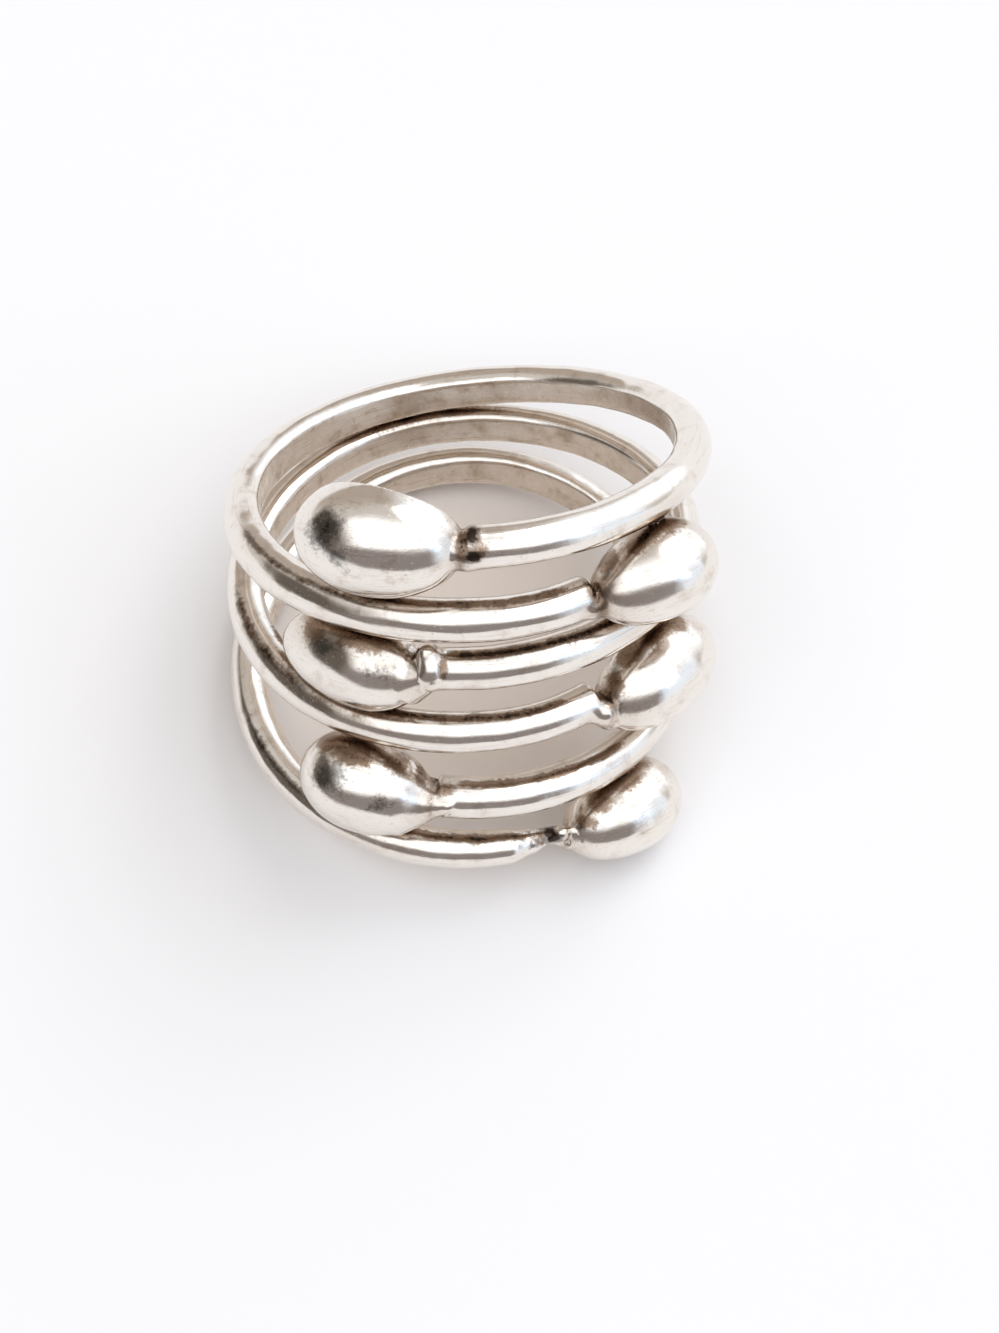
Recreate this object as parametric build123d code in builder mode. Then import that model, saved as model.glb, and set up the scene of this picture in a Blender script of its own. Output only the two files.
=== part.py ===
from build123d import *
import os
from collections import namedtuple
from math import cos, radians, sin, sqrt, tan

# Stackable ring of three silver wire loops. Each loop is a round wire that runs a little
# more than once round the finger, and both of its ends meet a smooth, egg-shaped drop.
# The inside of the ring is filed to one cylinder, which leaves a flat on wires and drops.
# The ring stands on its lower end, on three points, so its bore leans back a little.

# Driving dimensions, in millimetres and degrees
LOOP_RADIUS = 9.43          # bore axis to the middle of the wire
WIRE_RADIUS = 0.87
BORE_RADIUS = 8.80          # the filed inside of the ring
BORE_SHIFT = -0.13          # its axis lies this far to the right of the loops' axis
BORE_LENGTH = 60            # longer than the ring
STEP = 15                   # turn of the wire between two corners of its path
RUN_SHARE = 0.45            # share of a straight run that the arc at each of its ends takes
NECK_INSET = 0.35           # how deep a drop's neck is set into the end of the wire
END_ROUNDING = 1.08         # radius of a drop's end over that of an ellipse of its size
MOST_ROUNDING = 0.95        # and at most this share of the drop's own radius
LEAN_BACK = 25.1            # bore axis off upright, towards the back
LEAN_LEFT = 0.94            # bore axis off upright, towards the left

# A loop's wire: azimuth 0 is the front and grows to the right and round the back.
# Its height is level - fall per turn + the tilts and bends of the loop.
Loop = namedtuple(
    "Loop", "name level fall front_tilt right_tilt front_bend right_bend start end shift_x"
)
LOOPS = [
    Loop("upper_loop", 8.07, 3.65, 1.60, 0.80, -0.15, 0.05, -1.4, 391.2, -0.05),
    Loop("middle_loop", 3.80, 3.40, -0.42, 0.45, 0.02, 0.18, -8.5, 395.6, -0.20),
    Loop("lower_loop", -1.35, 3.00, -2.65, 0.00, 0.40, 0.00, -6.0, 386.6, -0.32),
]
END_SPAN = 25               # last stretch of a wire, which bends up a little to its drop
END_LIFT = 0.25

# A loop's two drops: where a drop starts, beside the end of its wire, where its tip is,
# how thick it is, how far along it is fattest, and the collar that holds it to the wire
Drop = namedtuple(
    "Drop", "loop start outward below azimuth height distance radius fattest neck"
)
DROPS = [
    Drop("upper_loop", -1.4, 0.10, 0.10, -43.1, 9.00, 10.00, 2.38, 0.53, 0.65),
    Drop("upper_loop", 390.2, 0.50, 0.20, 60.5, 6.90, 11.40, 2.00, 0.60, 0.60),
    Drop("middle_loop", -9.2, 0.45, 0.38, -52.7, 2.28, 9.40, 1.99, 0.46, 0.58),
    Drop("middle_loop", 395.7, 0.60, 0.80, 69.9, 0.90, 10.62, 2.10, 0.56, 0.55),
    Drop("lower_loop", -3.4, 0.70, 0.38, -41.4, -2.74, 10.55, 2.13, 0.60, 0.52),
    Drop("lower_loop", 388.0, 0.45, 0.50, 60.0, -6.25, 10.32, 2.08, 0.58, 0.52),
]

# The bore's frame in the standing ring, with its axis along local Z
bore = Plane.XY.rotated((-LEAN_BACK, -LEAN_LEFT, 0))


def on_loop(azimuth, distance, height, shift_x=0.0):
    """Point at an azimuth and distance round the bore, in the standing ring's frame."""
    x = distance * sin(radians(azimuth)) + shift_x
    y = -distance * cos(radians(azimuth))
    return bore.from_local_coords(Vector(x, y, height))


def wire_height(loop, azimuth):
    """Height of a loop's wire along the bore."""
    angle = radians(azimuth)
    tilt = loop.front_tilt * cos(angle) + loop.right_tilt * sin(angle)
    bend = loop.front_bend * cos(2 * angle) + loop.right_bend * sin(2 * angle)
    near_end = max(0.0, (azimuth - loop.end + END_SPAN) / END_SPAN)
    return loop.level - loop.fall * azimuth / 360 + tilt + bend + END_LIFT * near_end**2


def by_wire(loop, azimuth, outward=0.0, below=0.0):
    """Point on a loop's wire, or beside it, away from the bore and down."""
    height = wire_height(loop, azimuth) - below
    return on_loop(azimuth, LOOP_RADIUS + outward, height, loop.shift_x)


def wire_corners(loop):
    """Corners of the wire's path. They stand outside the circle that its arcs follow."""
    count = round((loop.end - loop.start) / STEP)
    step = (loop.end - loop.start) / count
    outer = LOOP_RADIUS / cos(radians(step / 2))
    corners = [by_wire(loop, loop.start)]
    for i in range(count):
        azimuth = loop.start + (i + 0.5) * step
        corners.append(on_loop(azimuth, outer, wire_height(loop, azimuth), loop.shift_x))
    corners.append(by_wire(loop, loop.end))
    return corners


def corner_radii(corners):
    """Largest arc that each corner's two runs allow."""
    radii = []
    for before, corner, after in zip(corners, corners[1:], corners[2:]):
        run_in = corner - before
        run_out = after - corner
        shorter = min(run_in.length, run_out.length)
        radii.append(RUN_SHARE * shorter / tan(radians(run_in.get_angle(run_out) / 2)))
    return radii


def shoulder(reach, radius):
    """Where a drop's belly arc meets its end arc, from its fattest section, and the end's radius."""
    end_radius = min(END_ROUNDING * radius**2 / reach, MOST_ROUNDING * radius)
    centre = reach - end_radius
    belly = (centre**2 + radius**2 - end_radius**2) / (2 * (radius - end_radius))
    share = belly / (belly - end_radius)
    return Vector(centre * share, (radius - belly) * (1 - share)), end_radius


pieces = []
for loop in LOOPS:
    with BuildPart() as piece:
        # the wire
        corners = wire_corners(loop)
        with BuildLine() as path:
            FilletPolyline(corners, radius=corner_radii(corners))
        with BuildSketch(Plane(origin=path.line @ 0, z_dir=path.line % 0)):
            Circle(WIRE_RADIUS)
        sweep(path=path.line)

        # its two drops
        for drop in [row for row in DROPS if row.loop == loop.name]:
            root = by_wire(loop, drop.start, drop.outward, drop.below)
            tip = on_loop(drop.azimuth, drop.distance, drop.height)
            length = (tip - root).length
            fattest = drop.fattest * length
            neck_joint, neck_rounding = shoulder(fattest, drop.radius)
            tip_joint, _ = shoulder(length - fattest, drop.radius)
            collar = neck_rounding - sqrt(neck_rounding**2 - drop.neck**2)
            seam = (tip - root).cross(bore.x_dir + bore.y_dir)
            with BuildSketch(Plane(origin=root, x_dir=tip - root, z_dir=seam)):
                with BuildLine():
                    top = (fattest, drop.radius)
                    joint = (fattest - neck_joint.X, neck_joint.Y)
                    neck_belly = TangentArc(top, joint, tangent=(-1, 0))
                    neck_end = TangentArc(joint, (collar, drop.neck), tangent=neck_belly % 1)
                    joint = (fattest + tip_joint.X, tip_joint.Y)
                    tip_belly = TangentArc(top, joint, tangent=(1, 0))
                    TangentArc(joint, (length, 0), tangent=tip_belly % 1)
                    Polyline((length, 0), (-NECK_INSET, 0), (-NECK_INSET, drop.neck), neck_end @ 1)
                make_face()
            revolve(axis=Axis(root, tip - root))

        # the filed inside
        with BuildSketch(bore):
            with Locations((BORE_SHIFT, 0)):
                Circle(BORE_RADIUS)
        extrude(amount=BORE_LENGTH / 2, both=True, mode=Mode.SUBTRACT)

    piece.part.label = loop.name
    pieces.append(piece.part)

# The origin is the middle of the ring's footprint, on the surface that it stands on
box = Compound(pieces).bounding_box()
to_floor = Location((-box.center().X, -box.center().Y, -box.min.Z))

os.makedirs("parts", exist_ok=True)
for part in pieces:
    export_step(part.moved(to_floor), f"parts/{part.label}.step")
print("bore middle", to_floor.position, "bore axis", bore.z_dir)
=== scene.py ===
import math
from collections import namedtuple

import bpy
import numpy as np
from mathutils import Matrix, Vector


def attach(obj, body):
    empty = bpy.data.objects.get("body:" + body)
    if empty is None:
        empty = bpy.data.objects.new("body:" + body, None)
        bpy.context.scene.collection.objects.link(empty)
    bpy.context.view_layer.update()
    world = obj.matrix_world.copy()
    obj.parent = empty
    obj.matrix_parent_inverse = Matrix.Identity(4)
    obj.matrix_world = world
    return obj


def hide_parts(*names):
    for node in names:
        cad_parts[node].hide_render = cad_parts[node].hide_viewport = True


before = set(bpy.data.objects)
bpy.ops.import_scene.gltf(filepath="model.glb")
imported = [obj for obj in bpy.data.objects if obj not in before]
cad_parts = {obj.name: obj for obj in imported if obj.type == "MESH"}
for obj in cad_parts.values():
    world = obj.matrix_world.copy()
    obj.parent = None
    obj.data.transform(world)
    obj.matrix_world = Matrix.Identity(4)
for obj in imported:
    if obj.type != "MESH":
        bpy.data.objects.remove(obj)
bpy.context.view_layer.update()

# Sizes are in millimetres and degrees until a mesh is written, in metres
MM = 0.001

# ---------------------------------------------------------------- the ring's form

LOOP_RADIUS = 9.43               # bore axis to the middle of the wire
WIRE_RADIUS = 0.87
BORE_RADIUS = 8.80               # the filed inside of the ring
BORE_SHIFT = -0.13               # its axis lies this far to the right of the loops' axis
LEAN_BACK = 25.1                 # bore axis off upright, towards the back
LEAN_LEFT = 0.94                 # and towards the left
BORE_MIDDLE = Vector((0.0255, 0.4293, 5.0744))      # origin of the bore's frame, as the ring stands
END_SPAN = 25                    # last stretch of a wire, which bends up to its drop
END_LIFT = 0.25

# A loop's wire, nearly as in the part's source: azimuth 0 is the front and grows to the right
Loop = namedtuple(
    "Loop", "name level fall front_tilt right_tilt front_bend right_bend start end shift_x"
)
LOOPS = [
    Loop("upper_loop", 8.07, 3.65, 1.60, 0.80, -0.15, 0.05, -0.2, 391.2, -0.05),
    Loop("middle_loop", 3.80, 3.40, -0.42, 0.45, 0.02, 0.18, -7.1, 394.8, -0.20),
    Loop("lower_loop", -1.35, 3.00, -2.65, 0.00, 0.40, 0.00, -6.0, 386.0, -0.32),
]
PASSES = (0, 360)                # at the front, a wire passes twice
LOOP_PARTS = 4                   # the two passes of a loop's wire, and its two drops

# How thick the wire is on its way round: azimuth, radius
GAUGE = {
    "upper_loop": [
        (-5, 0.88), (60, 0.85), (140, 0.84), (220, 0.90), (290, 0.97), (345, 0.93), (395, 0.88),
    ],
    "middle_loop": [
        (-10, 0.90), (20, 0.92), (70, 0.86), (140, 0.84), (220, 0.87), (300, 0.90), (395, 0.86),
    ],
    "lower_loop": [
        (-8, 0.92), (30, 0.93), (80, 0.86), (220, 0.86), (345, 0.87), (372, 0.80), (378, 0.58),
        (385, 0.30),
    ],
}

# A loop's two drops, nearly as in the part's source: where a drop starts beside its wire, where
# its tip is, how thick it is and how far along it is fattest. Then its neck: how thick it is,
# how far into the drop it goes on widening, and how far above the drop's start it bends.
Drop = namedtuple(
    "Drop", "start outward below azimuth height distance radius fattest neck taper rise"
)
DROPS = {
    "upper_loop": [
        Drop(-0.2, 0.10, 0.10, -43.1, 9.00, 10.00, 2.38, 0.54, 0.80, 0.30, 0.00),
        Drop(390.6, 0.50, 0.20, 60.5, 6.90, 11.40, 2.00, 0.60, 0.55, 0.30, 0.00),
    ],
    "middle_loop": [
        Drop(-7.8, 0.45, 0.38, -52.7, 2.30, 9.38, 2.06, 0.46, 0.72, 0.90, 0.40),
        Drop(395.7, 0.60, 0.80, 69.9, 0.90, 10.62, 2.10, 0.56, 0.66, 0.30, 0.40),
    ],
    "lower_loop": [
        Drop(-3.2, 0.70, 0.38, -41.4, -2.74, 10.55, 2.15, 0.60, 0.34, 1.90, 0.50),
        Drop(387.8, 0.45, 0.50, 60.0, -6.25, 10.32, 2.08, 0.58, 0.26, 0.30, 0.00),
    ],
}

# Small lumps of solder at the joints
Bead = namedtuple("Bead", "loop azimuth height distance radius")
BEADS = [
    Bead("middle_loop", -9.6, 4.25, 9.70, 0.48),
    Bead("middle_loop", -8.2, 3.85, 10.15, 0.20),
    Bead("lower_loop", 24.5, -6.20, 9.72, 0.32),
]

RIM = 0.22                       # rounding of a blunt wire end
SOLDER = 0.16                    # width of the fillet where a drop meets its wire
BEAD_FILLET = 0.45               # and where a lump of solder does
NECK_REACH = 0.45                # how far a neck runs into the wire
TAPER_CUT = 0.4                  # share of the taper that a drop's round body leaves to the neck
SHOULDER = 0.98                  # a neck's thickness inside its drop, over the drop's there
FILED_EDGE = 0.10                # rounding of the edges that the filing left
RIPPLES = 16                     # waves in the surface, the shortest and longest, and their depth
RIPPLE_LENGTHS = (1.0, 5.0)
RIPPLE_DEPTH = 0.013

APPROACHES = 2                   # steps in which a point finds its place on a wire or a surface
HALF_DEGREE = 0.5
SLOPE_STEP = 0.01                # how far each way a gap is compared, to find its slope
LEAST_STEEP = 0.25               # the least slope (squared) that a step onto the surface counts on
VOXEL = 0.088                    # size of the mesh's faces
RING_CORNERS = 40                # corners in a ring of a rough body, and rings in each body
WIRE_RINGS = 500
NECK_RINGS = 25
DROP_RINGS = 60
BEAD_RINGS = 16
DROP_POLE = 0.03                 # first ring of a rough drop or bead off its pole, in radians
BEAD_POLE = 0.1
DROP_GRAIN = 80.0                # the grain of the drops starts here, past the ends of the wires

leaning_left = Matrix.Rotation(math.radians(-LEAN_LEFT), 3, "Y")
bore = Matrix.Rotation(math.radians(-LEAN_BACK), 3, "X") @ leaning_left


def smooth_steps(place, rows):
    """Smooth curve through rows of (place, value)."""
    places, values = np.array(rows, float).T
    row = np.clip(np.searchsorted(places, place) - 1, 0, len(rows) - 2)
    share = np.clip((place - places[row]) / (places[row + 1] - places[row]), 0, 1)
    share = share * share * (3 - 2 * share)
    return values[row] * (1 - share) + values[row + 1] * share


def beside_wire(loop, azimuth, outward=0.0, below=0.0):
    """Point on the wire's middle, or away from the bore and below it, in the bore's frame."""
    angle = np.radians(azimuth)
    tilt = loop.front_tilt * np.cos(angle) + loop.right_tilt * np.sin(angle)
    bend = loop.front_bend * np.cos(2 * angle) + loop.right_bend * np.sin(2 * angle)
    near_end = np.maximum(0.0, (azimuth - loop.end + END_SPAN) / END_SPAN)
    height = loop.level - loop.fall * azimuth / 360 + tilt + bend + END_LIFT * near_end**2 - below
    distance = LOOP_RADIUS + outward
    x = distance * np.sin(angle) + loop.shift_x
    return np.stack([x, -distance * np.cos(angle), height], axis=-1)


def at_azimuth(azimuth, distance, height):
    """Point at an azimuth and a distance round the bore."""
    angle = math.radians(azimuth)
    return np.array([distance * math.sin(angle), -distance * math.cos(angle), height])


def drop_ends(loop, drop):
    """Where a drop's axis starts, and its tip."""
    root = beside_wire(loop, drop.start, drop.outward, drop.below)
    return root, at_azimuth(drop.azimuth, drop.distance, drop.height)


def rounded_max(first, second, edge):
    """Larger of two gaps, with the edge where they meet rounded."""
    corner = np.hypot(np.maximum(first + edge, 0), np.maximum(second + edge, 0))
    return np.minimum(np.maximum(first, second) + edge, 0) + corner - edge


def filled_min(first, second, fillet):
    """Smaller of two gaps, with a fillet where they meet."""
    near = np.maximum(fillet - np.abs(first - second), 0) / fillet
    return np.minimum(first, second) - near**2 * fillet / 4


def wire_gap(loop, points, turn):
    """Gap from points to one pass of a wire, with the azimuth and the offset from its middle."""
    azimuth = np.degrees(np.arctan2(points[:, 0] - loop.shift_x, -points[:, 1])) + turn
    for _ in range(APPROACHES):
        middle = beside_wire(loop, azimuth)
        # the wire's run over one degree
        run = beside_wire(loop, azimuth + HALF_DEGREE) - beside_wire(loop, azimuth - HALF_DEGREE)
        azimuth = azimuth + ((points - middle) * run).sum(axis=1) / (run**2).sum(axis=1)
    offset = points - beside_wire(loop, azimuth)
    side = np.linalg.norm(offset, axis=1) - smooth_steps(azimuth, GAUGE[loop.name])
    beyond = np.maximum(loop.start - azimuth, azimuth - loop.end) * np.linalg.norm(run, axis=1)
    return rounded_max(side, beyond, RIM), azimuth, offset


def drop_gap(loop, drop, points):
    """Gap from points to an egg-shaped drop, with the place along it and the offset from its axis."""
    root, tip = drop_ends(loop, drop)
    axis = tip - root
    length = np.linalg.norm(axis)
    axis = axis / length
    along = (points - root) @ axis
    offset = points - root - along[:, None] * axis
    belly = drop.fattest * length
    reach = np.where(along < belly, belly - TAPER_CUT * drop.taper, length - belly)
    lengthwise = (along - belly) / reach
    sideways = np.linalg.norm(offset, axis=1) / drop.radius
    share = np.hypot(lengthwise, sideways)
    gap = share * (share - 1) / np.hypot(lengthwise / reach, sideways / drop.radius)
    return gap, along, offset


def neck_line(loop, drop):
    """Middle and thickness of a neck: inside the wire, at the drop's end, and inside the drop."""
    left = drop.start < 0
    inward = np.degrees(NECK_REACH / LOOP_RADIUS) * (1 if left else -1)
    wire = beside_wire(loop, np.array((loop.start if left else loop.end) + inward))
    joint = beside_wire(loop, drop.start, drop.outward, drop.below - drop.rise)
    root, tip = drop_ends(loop, drop)
    axis = tip - root
    length = np.linalg.norm(axis)
    belly = drop.fattest * length
    share = (belly - drop.taper) / (belly - TAPER_CUT * drop.taper)
    shoulder = SHOULDER * drop.radius * math.sqrt(1 - share**2)
    inside = root + axis * drop.taper / length
    return (wire, joint, inside), (drop.neck, drop.neck, max(shoulder, drop.neck))


def neck_gap(loop, drop, points):
    """Gap from points to a neck, which widens into its drop."""
    middles, radii = neck_line(loop, drop)
    gap = np.full(len(points), np.inf)
    for k in range(2):
        run = middles[k + 1] - middles[k]
        share = np.clip((points - middles[k]) @ run / (run @ run), 0, 1)
        thick = radii[k] + share * (radii[k + 1] - radii[k])
        off = np.linalg.norm(points - middles[k] - share[:, None] * run, axis=1)
        gap = np.minimum(gap, off - thick)
    return gap


def ripple(points, rng):
    """Slight waviness of hand-worked metal, as a sum of long waves."""
    total = np.zeros(len(points))
    for _ in range(RIPPLES):
        wave = rng.normal(size=3)
        wave *= 2 * np.pi / (rng.uniform(*RIPPLE_LENGTHS) * np.linalg.norm(wave))
        total += np.sin(points @ wave + rng.uniform(0, 2 * np.pi))
    return total * RIPPLE_DEPTH / math.sqrt(RIPPLES)


def loop_gap(loop, points):
    """Gap from points to the whole loop, filed inside."""
    gap = np.minimum(*(wire_gap(loop, points, turn)[0] for turn in PASSES))
    for drop in DROPS[loop.name]:
        near = filled_min(drop_gap(loop, drop, points)[0], neck_gap(loop, drop, points), SOLDER)
        gap = filled_min(gap, near, SOLDER)
    for bead in BEADS:
        if bead.loop == loop.name:
            middle = at_azimuth(bead.azimuth, bead.distance, bead.height)
            near = np.linalg.norm(points - middle, axis=1) - bead.radius
            gap = filled_min(gap, near, BEAD_FILLET)
    gap = gap + ripple(points, np.random.default_rng(LOOPS.index(loop)))
    from_axis = np.hypot(points[:, 0] - BORE_SHIFT, points[:, 1])
    return rounded_max(gap, BORE_RADIUS - from_axis, FILED_EDGE)


def slope_of(gap, points):
    """Direction in which a gap grows."""
    slope = np.empty_like(points)
    for k in range(3):
        move = np.zeros(3)
        move[k] = SLOPE_STEP
        slope[:, k] = (gap(points + move) - gap(points - move)) / (2 * SLOPE_STEP)
    return slope


def shell(points, radii):
    """Closed tube round a line, as a rough body for the mesh: corners and faces."""
    run = np.gradient(points, axis=0)
    run /= np.linalg.norm(run, axis=1)[:, None]
    across = np.cross(run, (0, 0, 1))
    across /= np.linalg.norm(across, axis=1)[:, None]
    turn = np.linspace(0, 2 * np.pi, RING_CORNERS, endpoint=False)[None, :, None]
    rings = np.cos(turn) * across[:, None] + np.sin(turn) * np.cross(run, across)[:, None]
    rings = points[:, None] + radii[:, None, None] * rings
    corners = np.concatenate([rings.reshape(-1, 3), points[:1], points[-1:]])
    faces = []
    last = (len(points) - 1) * RING_CORNERS
    for j in range(RING_CORNERS):
        k = (j + 1) % RING_CORNERS
        for i in range(0, last, RING_CORNERS):
            faces.append((i + j, i + k, i + RING_CORNERS + k, i + RING_CORNERS + j))
        faces.append((len(corners) - 2, k, j))
        faces.append((len(corners) - 1, last + j, last + k))
    return corners, faces


def rough_shells(loop):
    """Rough closed bodies of the wire, the necks, the drops and the beads."""
    azimuths = np.linspace(loop.start, loop.end, WIRE_RINGS)
    shells = [shell(beside_wire(loop, azimuths), smooth_steps(azimuths, GAUGE[loop.name]))]
    for drop in DROPS[loop.name]:
        middles, radii = neck_line(loop, drop)
        steps = np.linspace(0, 2, NECK_RINGS)
        line = np.stack([np.interp(steps, range(3), axis) for axis in np.transpose(middles)], axis=1)
        shells.append(shell(line, np.interp(steps, range(3), radii)))
        root, tip = drop_ends(loop, drop)
        turn = np.linspace(DROP_POLE, np.pi - DROP_POLE, DROP_RINGS)
        belly = np.where(turn < np.pi / 2, drop.fattest, 1 - drop.fattest)
        share = drop.fattest - np.cos(turn) * belly
        shells.append(shell(root + share[:, None] * (tip - root), drop.radius * np.sin(turn)))
    for bead in BEADS:
        if bead.loop == loop.name:
            middle = at_azimuth(bead.azimuth, bead.distance, bead.height)
            turn = np.linspace(BEAD_POLE, np.pi - BEAD_POLE, BEAD_RINGS)
            line = middle + np.cos(turn)[:, None] * (bead.radius, 0, 0)
            shells.append(shell(line, bead.radius * np.sin(turn)))
    return shells


def even_mesh(loop):
    """Evenly divided closed mesh of a loop, in the bore's frame."""
    corners, faces = [], []
    for points, quads in rough_shells(loop):
        start = sum(len(c) for c in corners)
        corners.append(points)
        faces += [tuple(start + i for i in quad) for quad in quads]
    corners = np.concatenate(corners)
    # nothing reaches into the bore
    from_axis = np.hypot(corners[:, 0] - BORE_SHIFT, corners[:, 1])
    push = np.maximum(1, BORE_RADIUS / from_axis)
    corners[:, 0] = BORE_SHIFT + (corners[:, 0] - BORE_SHIFT) * push
    corners[:, 1] *= push
    rough = bpy.data.meshes.new("rough")
    rough.from_pydata(corners.tolist(), [], faces)
    body = bpy.data.objects.new("rough", rough)
    bpy.context.scene.collection.objects.link(body)
    remesh = body.modifiers.new("even", "REMESH")
    remesh.mode = "VOXEL"
    remesh.voxel_size = VOXEL
    depsgraph = bpy.context.evaluated_depsgraph_get()
    even = bpy.data.meshes.new_from_object(body.evaluated_get(depsgraph))
    bpy.data.objects.remove(body)
    bpy.data.meshes.remove(rough)
    return even


def laid_on(loop, corners):
    """Corners moved onto the loop's true surface, and the surface's directions there."""

    def gap(points):
        return loop_gap(loop, points)

    for _ in range(APPROACHES):
        slope = slope_of(gap, corners)
        steep = np.maximum((slope**2).sum(axis=1), LEAST_STEEP)
        corners = corners - slope * (gap(corners) / steep)[:, None]
    normals = slope_of(gap, corners)
    return corners, normals / np.linalg.norm(normals, axis=1)[:, None]


def standing(points):
    """Points in the bore's frame turned to stand as the ring does."""
    return points @ np.array(bore).T


def set_attribute(mesh, name, values):
    """Give every corner of a mesh a number or a vector."""
    kind, key = ("FLOAT", "value") if values.ndim == 1 else ("FLOAT_VECTOR", "vector")
    attribute = mesh.attributes.new(name, kind, "POINT")
    attribute.data.foreach_set(key, values.astype(np.float32).ravel())


def crevice_and_grain(loop, corners):
    """How near the next part is, a place in a frame that runs along the wire or drop, and which
    part a corner is on: 0 for the wire, 1 for the left drop and 2 for the right one."""
    gaps, grains = [], []
    for other in LOOPS:
        for turn in PASSES:
            gap, azimuth, offset = wire_gap(other, corners, turn)
            gaps.append(gap)
            if other is loop:
                outward = np.hypot(corners[:, 0], corners[:, 1]) - LOOP_RADIUS
                along = np.radians(azimuth) * LOOP_RADIUS
                grains.append(np.stack([along, outward, offset[:, 2]], axis=1))
        for drop in DROPS[other.name]:
            gap, along, offset = drop_gap(other, drop, corners)
            gaps.append(gap)
            if other is loop:
                grains.append(np.stack([along + DROP_GRAIN, offset[:, 0], offset[:, 2]], axis=1))
    gaps = np.array(gaps)
    own = LOOPS.index(loop) * LOOP_PARTS
    nearest = gaps[own:own + LOOP_PARTS].argmin(axis=0)
    grain = np.array(grains)[nearest, np.arange(len(corners))]
    second_nearest = np.sort(gaps, axis=0)[1]
    return second_nearest, grain, np.maximum(nearest, 1) - 1


pieces = {}
forms = {}
for loop in LOOPS:
    mesh = even_mesh(loop)
    mesh.name = f"{loop.name}_silver"
    corners = np.empty(len(mesh.vertices) * 3)
    mesh.vertices.foreach_get("co", corners)
    corners, normals = laid_on(loop, corners.reshape(-1, 3))
    crevice, grain, part = crevice_and_grain(loop, corners)
    forms[loop.name] = (corners, crevice, grain, part)
    mesh.vertices.foreach_set("co", ((standing(corners) + np.array(BORE_MIDDLE)) * MM).ravel())
    set_attribute(mesh, "grain", grain)
    set_attribute(mesh, "filed", np.hypot(corners[:, 0] - BORE_SHIFT, corners[:, 1]) - BORE_RADIUS)
    mesh.shade_smooth()
    mesh.normals_split_custom_set_from_vertices(standing(normals).tolist())
    mesh.update()
    piece = bpy.data.objects.new(mesh.name, mesh)
    bpy.context.scene.collection.objects.link(piece)
    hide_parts(loop.name)
    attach(piece, "root")
    pieces[loop.name] = piece

# ---------------------------------------------------------------- materials

# Tarnish and painted shade along a set side of a wire: from and to which azimuth, which way round
# the wire it faces (0 is away from the bore and 90 is up), how wide it is, and how brown and how
# black
Line = namedtuple("Line", "loop first last facing wide brown black")
LINES = [
    Line("upper_loop", -1, 45, -64, 0.26, 0.62, 0.10),
    Line("upper_loop", 285, 345, 62, 0.16, 0.55, 0.50),
    Line("upper_loop", 318, 386, -66, 0.26, 0.62, 0.15),
    Line("upper_loop", 322, 389, 84, 0.24, 0.85, 0.50),
    Line("middle_loop", -8, 48, 78, 0.24, 0.90, 0.62),
    Line("middle_loop", 0, 40, -62, 0.26, 0.62, 0.15),
    Line("middle_loop", 275, 322, 50, 0.20, 0.60, 0.50),
    Line("middle_loop", 290, 330, 112, 0.24, 0.80, 0.54),
    Line("middle_loop", 300, 390, -62, 0.26, 0.62, 0.15),
    Line("middle_loop", 300, 392, 80, 0.24, 0.85, 0.52),
    Line("lower_loop", -6, 50, 80, 0.24, 0.85, 0.45),
    Line("lower_loop", 0, 45, -62, 0.24, 0.62, 0.12),
    Line("lower_loop", 285, 335, 40, 0.16, 0.50, 0.46),
    Line("lower_loop", 300, 384, -55, 0.26, 0.55, 0.12),
    Line("lower_loop", 318, 384, 76, 0.28, 0.86, 0.48),
]
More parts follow.
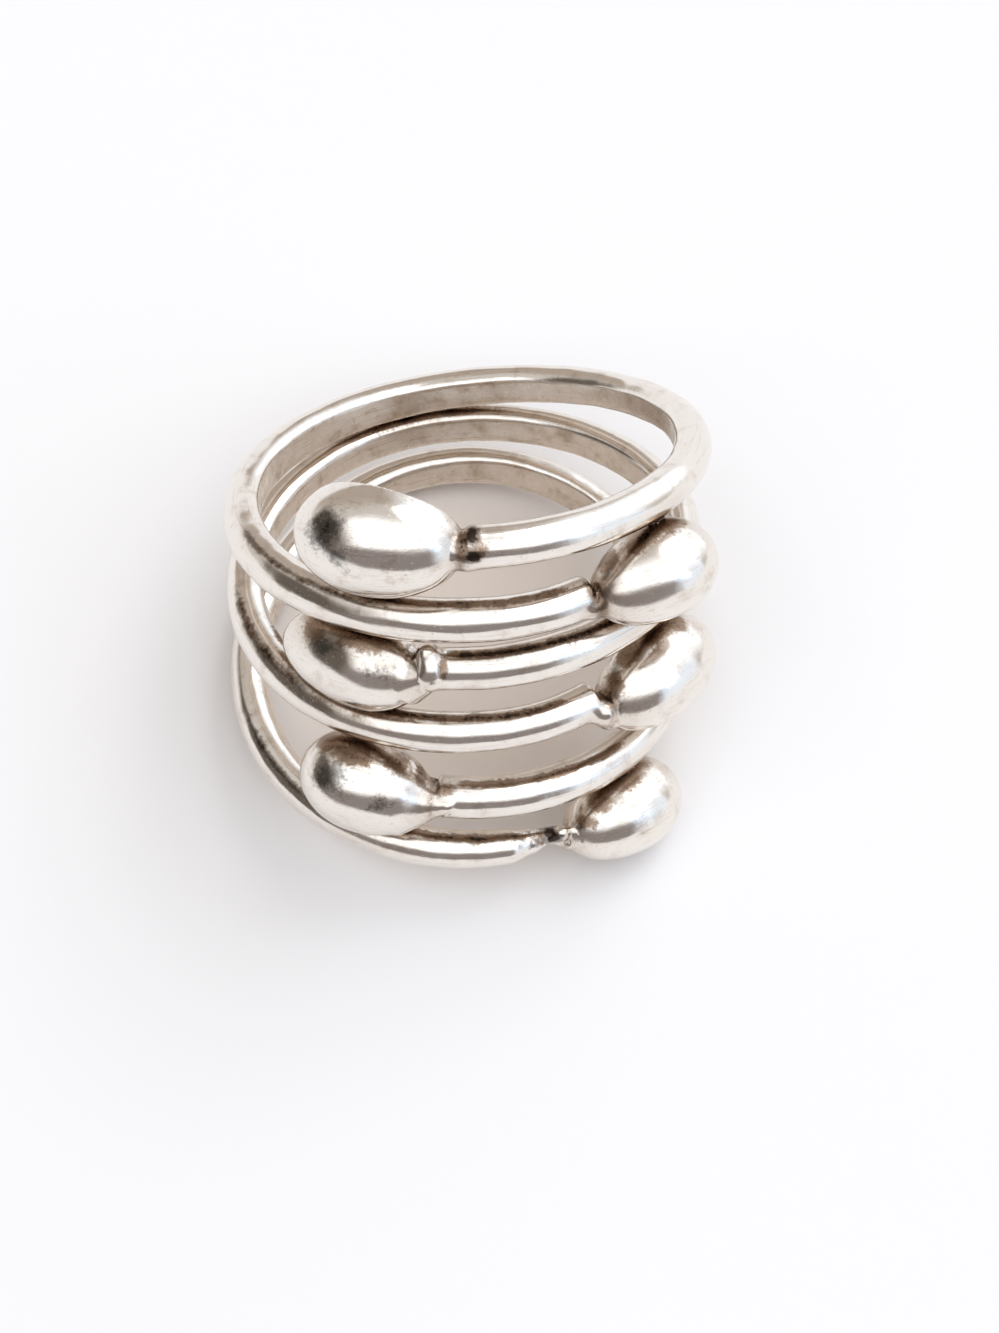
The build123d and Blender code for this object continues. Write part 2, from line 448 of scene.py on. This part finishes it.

# A spot of tarnish, painted shade and painted dark reflection, each group as its heading says: its
# place, its reach round the bore and along it, and how brown and black
StainAndShadeSpot = namedtuple("StainAndShadeSpot", "azimuth height distance round tall brown black")
STAIN_AND_SHADE_SPOTS = [
    # the ends of the left drops: mottled, with a painted dark reflection
    StainAndShadeSpot(-30.5, 10.3, 11.0, 1.00, 1.35, 0.10, 0.44),
    StainAndShadeSpot(-26.0, 9.7, 11.3, 0.80, 0.70, 0.10, 0.40),
    StainAndShadeSpot(-35.0, 3.8, 10.5, 0.75, 0.60, 0.30, 0.46),
    StainAndShadeSpot(-20.3, 3.6, 10.8, 1.00, 0.40, 0.40, 0.28),
    StainAndShadeSpot(-30.0, -1.9, 11.5, 0.90, 0.95, 0.35, 0.46),
    StainAndShadeSpot(-18.0, -2.7, 11.6, 1.10, 0.45, 0.25, 0.30),
    # painted shade and tarnish where the left drops run up beneath the wire above
    StainAndShadeSpot(-39.0, 4.1, 10.0, 1.00, 0.45, 0.85, 0.35),
    StainAndShadeSpot(-26.0, 4.5, 10.0, 1.70, 0.40, 0.92, 0.50),
    StainAndShadeSpot(-12.0, 4.3, 9.5, 0.80, 0.30, 0.92, 0.60),
    StainAndShadeSpot(-35.5, -1.3, 10.3, 1.00, 0.42, 0.92, 0.50),
    StainAndShadeSpot(-27.0, -1.2, 10.6, 1.20, 0.38, 0.92, 0.42),
    StainAndShadeSpot(-16.0, -1.6, 9.9, 1.60, 0.42, 0.92, 0.52),
    StainAndShadeSpot(-9.6, -2.3, 9.5, 1.00, 0.38, 0.92, 0.55),
    StainAndShadeSpot(-5.5, -2.8, 9.9, 0.60, 0.20, 0.70, 0.46),
    # the joints at the ends of the wires
    StainAndShadeSpot(0.9, 10.35, 9.7, 0.38, 0.32, 0.85, 0.80),
    StainAndShadeSpot(1.2, 9.72, 10.2, 0.45, 0.30, 0.85, 0.84),
    StainAndShadeSpot(2.4, 10.0, 10.2, 0.70, 0.85, 0.60, 0.20),
    StainAndShadeSpot(-1.2, 10.0, 9.9, 0.32, 1.10, 0.90, 0.66),
    StainAndShadeSpot(-5.8, 3.9, 10.0, 0.30, 0.60, 0.80, 0.40),
    StainAndShadeSpot(-8.0, 3.5, 10.1, 0.22, 0.25, 0.75, 0.56),
    StainAndShadeSpot(31.0, 6.0, 9.8, 0.30, 0.90, 0.85, 0.70),
    StainAndShadeSpot(36.0, 1.0, 9.9, 0.40, 1.00, 0.85, 0.62),
    StainAndShadeSpot(18.0, -6.2, 9.8, 0.90, 0.50, 0.60, 0.42),
    StainAndShadeSpot(21.9, -6.3, 9.7, 0.40, 0.35, 0.75, 0.82),
    # painted shade and tarnish where the right drops run up beneath the wire above
    StainAndShadeSpot(30.0, 6.9, 9.9, 0.30, 0.80, 0.85, 0.62),
    StainAndShadeSpot(36.0, 7.5, 9.4, 0.80, 0.60, 0.98, 0.40),
    StainAndShadeSpot(44.0, 8.3, 10.0, 1.40, 0.50, 0.98, 0.42),
    StainAndShadeSpot(54.0, 8.5, 10.3, 1.50, 0.42, 0.98, 0.46),
    StainAndShadeSpot(38.4, 1.2, 9.7, 0.50, 0.60, 0.85, 0.50),
    StainAndShadeSpot(44.0, 2.0, 9.4, 1.20, 0.50, 0.98, 0.40),
    StainAndShadeSpot(52.0, 2.6, 9.8, 1.20, 0.48, 0.98, 0.46),
    StainAndShadeSpot(59.0, 2.5, 10.1, 0.90, 0.50, 0.92, 0.50),
    StainAndShadeSpot(29.7, -5.7, 10.1, 0.60, 0.35, 0.75, 0.45),
    StainAndShadeSpot(34.0, -5.0, 9.9, 0.90, 0.42, 0.95, 0.42),
    StainAndShadeSpot(42.0, -4.5, 10.0, 1.10, 0.42, 0.85, 0.45),
]
SPOT_DEPTH = 0.8                # reach of a spot away from the bore
LINE_FADE = 8                    # stretch over which a line of tarnish and painted shade fades out at its ends
# How far tarnish and painted shade come out of the crevices, on a loop's wire, left drop and right
# drop
CREVICE_REACH = {
    "upper_loop": (1.0, 1.0, 1.6),
    "middle_loop": (1.0, 1.3, 1.6),
    "lower_loop": (1.0, 1.3, 1.4),
}

SHADES = {
    "silver": (0.88, 0.83, 0.77, 1),
    "patina": (0.50, 0.395, 0.30, 1),
    "grey": (0.21, 0.205, 0.195, 1),
    "brown": (0.27, 0.17, 0.105, 1),
    "black": (0.035, 0.028, 0.024, 1),
}
# How much of the metal each kind of tarnish and painted shade covers where it is full
COVER = {"grey": 0.80, "brown": 0.85, "black": 0.92}

# Noise: how many of its waves there are in a millimetre, its octaves and its roughness
CLOUD = (1.1, 6.0, 0.62)
FLECK = (5.5, 4.0, 0.70)
GRIT = (14.0, 3.0, 0.60)
PITS = (9.0, 2.0, 0.50)
SMEAR = (0.7, 3.0, 0.55)
DRAWN = (1.6, 5.0, 0.68)
# The traces of drawing and rubbing are noise that is stretched along the wire, and scratches
# are noise that is stretched, turned (in radians) and fine in one direction
DRAWN_STRETCH = (0.20, 7.0, 7.0)
SCRATCHES = {
    "scratches": ((9.0, 0.5, 0.9), (0.5, 0.3, 0.9), (2.2, 4.0, 0.70)),
    "cross_scratches": ((0.6, 8.0, 0.8), (0.2, 0.8, 0.4), (2.4, 4.0, 0.70)),
}

# Where each part of the look begins and where it is full: as the gap in a crevice, the strength of a
# spot of tarnish and painted shade, the height of a noise, the height over the filed inside or how
# far a side faces up
EDGES = {
    "near": (1.5, 0.3),
    "under": (0.15, -0.55),
    "brown": (0.50, 0.18),
    "black": (0.15, 0.0),
    "stained": (0.34, 0.62),
    "soiled_and_shaded": (0.46, 0.60),
    "grey": (0.16, 0.42),
    "inside": (0.06, 0.01),
    "film": (0.50, 0.72),
    "streak": (0.54, 0.68),
    "pits": (0.68, 0.74),
    "smear": (0.40, 0.66),
}

# Shares of what makes up the fray at an edge of tarnish and painted shade, and how much it moves each
# edge
FRAY_PARTS = {"cloud": 0.9, "fleck": 0.7}
FRAY_MIDDLE = 0.8
FRAYED = {"crevice": 0.75, "stain": 0.9, "under": 0.8}
# Shares of what makes up the film with its painted shade and painted dark reflection, the roughness
# and the height of the bump
FILM_AND_SHADE = {"cloud": 0.40, "streak": 0.38, "pits": 0.45, "near": 0.30, "inside": 0.75, "under": 0.25}
DULL = {"smear": 0.06, "film": 0.10, "brown": 0.10, "inside": 0.12}
BUMP = {
    "drawn": 0.10,
    "scratches": 0.04,
    "cross_scratches": 0.04,
    "cloud": 0.45,
    "fleck": 0.05,
    "pits": -0.12,
    "lumps": 0.15,
}
BUMP_DEPTH = 0.022               # of the whole bump
POLISH = 0.10                    # roughness where the polish is finest
BROWN_LEAST = 0.45               # how brown it is between the grit


class Nodes:
    """Short way to add and wire shader nodes, with sockets by name or, as in _6, by number."""

    def __init__(self, tree):
        self.tree = tree

    def add(self, kind, **inputs):
        node = self.tree.nodes.new(kind)
        for name, value in inputs.items():
            self.set(node, name, value)
        return node

    def set(self, node, name, value):
        key = int(name[1:]) if name[0] == "_" and name[1:].isdigit() else name.replace("_", " ")
        socket = node.inputs[key]
        if isinstance(value, bpy.types.NodeSocket):
            self.tree.links.new(value, socket)
        else:
            socket.default_value = value

    def math(self, operation, *values):
        node = self.tree.nodes.new("ShaderNodeMath")
        node.operation = operation
        for i, value in enumerate(values):
            self.set(node, f"_{i}", value)
        return node.outputs[0]

    def times(self, first, second):
        return self.math("MULTIPLY", first, second)

    def added(self, start, shares, **values):
        """Start, with a share of each value added."""
        total = start
        for name, value in values.items():
            total = self.math("ADD", total, self.times(value, shares[name]))
        return total

    def smooth(self, value, low, high):
        """0 at low and 1 at high, with a smooth step between."""
        node = self.tree.nodes.new("ShaderNodeMapRange")
        node.interpolation_type = "SMOOTHSTEP"
        for name, number in (("Value", value), ("From Min", low), ("From Max", high)):
            self.set(node, name, number)
        return node.outputs["Result"]

    def mix(self, share, first, second):
        node = self.tree.nodes.new("ShaderNodeMix")
        node.data_type = "RGBA"
        self.set(node, "_0", share)
        self.set(node, "_6", first)
        self.set(node, "_7", second)
        return node.outputs[2]

    def attribute(self, name, output):
        node = self.tree.nodes.new("ShaderNodeAttribute")
        node.attribute_name = name
        return node.outputs[output]

    def stretched(self, vector, scale, turn=(0, 0, 0)):
        node = self.add("ShaderNodeMapping", Vector=vector, Scale=scale, Rotation=turn)
        return node.outputs["Vector"]

    def noise(self, vector, scale, detail, roughness):
        node = self.add(
            "ShaderNodeTexNoise", Vector=vector, Scale=scale, Detail=detail, Roughness=roughness
        )
        return node.outputs["Fac"]


def turn_between(first, second):
    """Turn from one direction to another, the short way round."""
    return (second - first + 180) % 360 - 180


def tarnish_and_shade(loop, corners, crevice, grain, part):
    """How brown and how black the metal is, from tarnish and painted shade, and how near the next
    part is, per corner.
    """
    on_wire = part == 0
    brown, black = np.zeros((2, len(corners)))
    azimuth = np.degrees(grain[:, 0] / LOOP_RADIUS)
    facing = np.degrees(np.arctan2(grain[:, 2], grain[:, 1]))
    # lines of tarnish and painted shade on set sides of a wire
    for line in LINES:
        if line.loop == loop.name:
            inside = np.minimum(azimuth - line.first, line.last - azimuth) / LINE_FADE
            off = np.radians(turn_between(line.facing, facing)) * WIRE_RADIUS
            share = np.exp(-(off / line.wide) ** 2)
            share *= np.clip(inside, 0, 1) * on_wire
            brown = np.maximum(brown, share * line.brown)
            black = np.maximum(black, share * line.black)
    azimuth = np.degrees(np.arctan2(corners[:, 0], -corners[:, 1]))
    distance = np.hypot(corners[:, 0], corners[:, 1])
    # spots of tarnish, painted shade and painted dark reflection
    for stain in STAIN_AND_SHADE_SPOTS:
        off = np.radians(turn_between(stain.azimuth, azimuth)) * stain.distance
        far = (off / stain.round) ** 2
        far += ((corners[:, 2] - stain.height) / stain.tall) ** 2
        far += ((distance - stain.distance) / SPOT_DEPTH) ** 2
        share = np.exp(-far)
        brown = np.maximum(brown, share * stain.brown)
        black = np.maximum(black, share * stain.black)
    return brown, black, crevice / np.array(CREVICE_REACH[loop.name])[part]


def silver_material():
    """Worn, hand-polished silver, brown and black where the polish didn't reach and where shade is
    painted.
    """
    material = bpy.data.materials.new("silver")
    material.use_nodes = True
    make = Nodes(material.node_tree)
    shader = material.node_tree.nodes["Principled BSDF"]
    coordinates = make.add("ShaderNodeTexCoord")
    place = make.stretched(coordinates.outputs["Object"], (1 / MM,) * 3)
    direction = make.add("ShaderNodeSeparateXYZ", Vector=coordinates.outputs["Normal"])
    grain = make.attribute("grain", "Vector")
    # attributes: the crevice gap, the brown and the black shares of tarnish and painted shade, and
    # the height over the filed inside
    crevice, stain, dirt_and_shade, filed = (
        make.attribute(name, "Fac") for name in ("crevice", "stain", "dirt_and_shade", "filed")
    )
    cloud = make.noise(place, *CLOUD)
    fleck = make.noise(place, *FLECK)
    grit = make.noise(place, *GRIT)
    drawn = make.noise(make.stretched(grain, DRAWN_STRETCH), *DRAWN)
    pits = make.smooth(make.noise(place, *PITS), *EDGES["pits"])

    # tarnish and painted shade sit in the crevices and in the lines and spots, with a broken edge
    fray = make.added(0.0, FRAY_PARTS, cloud=cloud, fleck=fleck)
    fray = make.math("SUBTRACT", fray, FRAY_MIDDLE)
    depth = make.added(crevice, FRAYED, crevice=fray)
    stained = make.added(stain, FRAYED, stain=fray)
    soiled_and_shaded = make.added(dirt_and_shade, FRAYED, stain=fray)
    grey = make.smooth(soiled_and_shaded, *EDGES["grey"])
    # brown and black in a crevice: partly tarnish, partly painted shade between the parts
    brown = make.smooth(depth, *EDGES["brown"])
    brown = make.math("MAXIMUM", brown, make.smooth(stained, *EDGES["stained"]))
    brown = make.times(brown, make.math("ADD", BROWN_LEAST, grit))
    black = make.smooth(depth, *EDGES["black"])
    black = make.math("MAXIMUM", black, make.smooth(soiled_and_shaded, *EDGES["soiled_and_shaded"]))

    # a thin uneven film, with streaks from drawing and rubbing, is thicker in pits, and near a
    # crevice, where it is partly painted shade; it is a painted dark reflection on the filed inside
    # and painted shade on the sides that face down
    # painted shade: the more a side faces down, the darker it is
    facing = make.added(direction.outputs["Z"], FRAYED, under=fray)
    # painted dark reflection on the filed inside
    inside = make.smooth(filed, *EDGES["inside"])
    film = make.added(
        0.0,
        FILM_AND_SHADE,
        cloud=make.smooth(cloud, *EDGES["film"]),
        streak=make.smooth(drawn, *EDGES["streak"]),
        pits=pits,
        near=make.smooth(depth, *EDGES["near"]),
        inside=make.times(inside, cloud),
        under=make.smooth(facing, *EDGES["under"]),
    )
    film = make.math("MINIMUM", film, 1.0)

    colour = make.mix(film, SHADES["silver"], SHADES["patina"])
    for name, share in (("grey", grey), ("brown", brown), ("black", black)):
        colour = make.mix(make.times(share, COVER[name]), colour, SHADES[name])
    make.set(shader, "Base Color", colour)
    shader.inputs["Metallic"].default_value = 1.0

    # the polish is finest on the open bellies and dullest where the tarnish and painted shade are
    smear = make.smooth(make.noise(place, *SMEAR), *EDGES["smear"])
    rough = make.added(POLISH, DULL, smear=smear, film=film, brown=brown, inside=inside)
    make.set(shader, "Roughness", rough)

    # traces of drawing, fine scratches both ways, waves, pits, and lumps where the brown tarnish and
    # painted shade are
    scratches = {
        name: make.noise(make.stretched(place, stretch, turn), *noise)
        for name, (stretch, turn, noise) in SCRATCHES.items()
    }
    lumps = make.times(brown, grit)
    height = make.added(
        0.0, BUMP, drawn=drawn, **scratches, cloud=cloud, fleck=fleck, pits=pits, lumps=lumps
    )
    bump = make.add("ShaderNodeBump", Height=height, Strength=1.0, Distance=BUMP_DEPTH * MM)
    make.set(shader, "Normal", bump.outputs["Normal"])
    return material


silver = silver_material()
for loop in LOOPS:
    mesh = pieces[loop.name].data
    # brown and black shares of tarnish and painted shade, and the crevice gaps
    for name, values in zip(("stain", "dirt_and_shade", "crevice"), tarnish_and_shade(loop, *forms[loop.name])):
        set_attribute(mesh, name, values)
    mesh.materials.clear()
    mesh.materials.append(silver)

# ---------------------------------------------------------------- floor, light and camera

FLOOR_SIZE = 3.0
FLOOR_SPOT = (5, 13)             # painted shadow: the paper is browner beneath the ring, fading from and to here
FLOOR_PAINTED_SHADOW = (0.80, 0.71, 0.635, 1)
FLOOR_WHITE = (0.885, 0.865, 0.855, 1)
FLOOR_ROUGH = 0.7
FLOOR_SHINE = 0.2

mesh = bpy.data.meshes.new("floor")
half = FLOOR_SIZE / 2
corners = [(-half, -half, 0), (half, -half, 0), (half, half, 0), (-half, half, 0)]
mesh.from_pydata(corners, [], [(0, 1, 2, 3)])
floor = bpy.data.objects.new("floor", mesh)
bpy.context.scene.collection.objects.link(floor)
paper = bpy.data.materials.new("paper")
paper.use_nodes = True
paint = Nodes(paper.node_tree)
from_ring = paint.add("ShaderNodeVectorMath", _0=paint.add("ShaderNodeTexCoord").outputs["Object"])
from_ring.operation = "LENGTH"
# painted shadow: browner paper near the ring, white further off
far = paint.smooth(from_ring.outputs["Value"], FLOOR_SPOT[0] * MM, FLOOR_SPOT[1] * MM)
shader = paper.node_tree.nodes["Principled BSDF"]
paint.set(shader, "Base Color", paint.mix(far, FLOOR_PAINTED_SHADOW, FLOOR_WHITE))
shader.inputs["Roughness"].default_value = FLOOR_ROUGH
shader.inputs["Specular IOR Level"].default_value = FLOOR_SHINE
mesh.materials.append(paper)

# The room's light by direction. "along" runs from the front horizon (0) over the ring (90) to
# the back horizon (180), and "across" from the left (-90) to the right (90), in degrees.
Panel = namedtuple("Panel", "name along across half_along half_across soft colour")
ROOM = (0.66, 0.63, 0.60, 1)
PANELS = [
    Panel("back_wall", 170, -8, 36, 42, 26, (0.46, 0.40, 0.35, 1)),
    Panel("left_wall", 72, -68, 84, 19, 12, (0.14, 0.12, 0.105, 1)),
    Panel("right_window", 50, 75, 65, 42, 30, (0.95, 1.03, 1.16, 1)),
    Panel("ceiling", 70, 6, 30, 46, 20, (1.46, 1.50, 1.56, 1)),
    Panel("back_window", 135, 38, 48, 28, 24, (1.35, 1.42, 1.52, 1)),
    Panel("sky", 42, 48, 9, 9, 8, (1.30, 1.62, 2.10, 1)),
    Panel("front_people", 8, -6, 32, 50, 18, (0.28, 0.25, 0.245, 1)),
]


def within(room, angle, middle, half, soft):
    """1 where an angle is inside a panel and 0 outside, with a soft edge."""
    off = room.math("ABSOLUTE", room.math("SUBTRACT", angle, middle))
    return room.smooth(off, half + soft / 2, half - soft / 2)


world = bpy.data.worlds.new("studio")
bpy.context.scene.world = world
world.use_nodes = True
room = Nodes(world.node_tree)
way = room.add("ShaderNodeSeparateXYZ", Vector=room.add("ShaderNodeTexCoord").outputs["Generated"])
x, y, z = (way.outputs[k] for k in "XYZ")
degrees = 180 / math.pi
along = room.times(room.math("ARCTAN2", z, room.times(y, -1.0)), degrees)
across = room.times(room.math("ARCSINE", x), degrees)
light = ROOM
for panel in PANELS:
    inside_along = within(room, along, panel.along, panel.half_along, panel.soft)
    inside_across = within(room, across, panel.across, panel.half_across, panel.soft)
    light = room.mix(room.times(inside_along, inside_across), light, panel.colour)
room.set(world.node_tree.nodes["Background"], "Color", light)

# A broad lamp from the right and the back, for the soft shadow
LAMP_STRENGTH = 0.50
LAMP_WIDTH = 36
LAMP_TURN = (-28, 24, 0)
lamp_data = bpy.data.lights.new("lamp", "SUN")
lamp_data.energy = LAMP_STRENGTH
lamp_data.angle = math.radians(LAMP_WIDTH)
lamp = bpy.data.objects.new("lamp", lamp_data)
lamp.rotation_euler = [math.radians(turn) for turn in LAMP_TURN]
bpy.context.scene.collection.objects.link(lamp)

# The camera looks down at the ring's front, and its distance and tilt are to the bore
VIEW_DOWN = 37.8                 # camera above the plane across the bore
VIEW_DISTANCE = 121.0
AIM = (1.385, 3.27)              # right of and below the bore's middle, as the camera sees it
LENS = 74.34
NEAREST = 0.001                  # where the camera's view begins, in metres
down = math.radians(VIEW_DOWN)
away = Vector((0, -math.cos(down), math.sin(down)))
up = Vector((0, math.sin(down), math.cos(down)))
right = Vector((1, 0, 0))
target = right * AIM[0] - up * AIM[1]
place = away * VIEW_DISTANCE
backward = (place - target).normalized()
sideways = up.cross(backward).normalized()
turn = Matrix((sideways, backward.cross(sideways), backward)).transposed()
camera_data = bpy.data.cameras.new("camera")
camera_data.lens = LENS
camera_data.clip_start = NEAREST
camera = bpy.data.objects.new("camera", camera_data)
bpy.context.scene.collection.objects.link(camera)
camera.matrix_world = Matrix.Translation((bore @ place + BORE_MIDDLE) * MM) @ (bore @ turn).to_4x4()
bpy.context.scene.camera = camera

bpy.context.scene.view_settings.view_transform = "Standard"
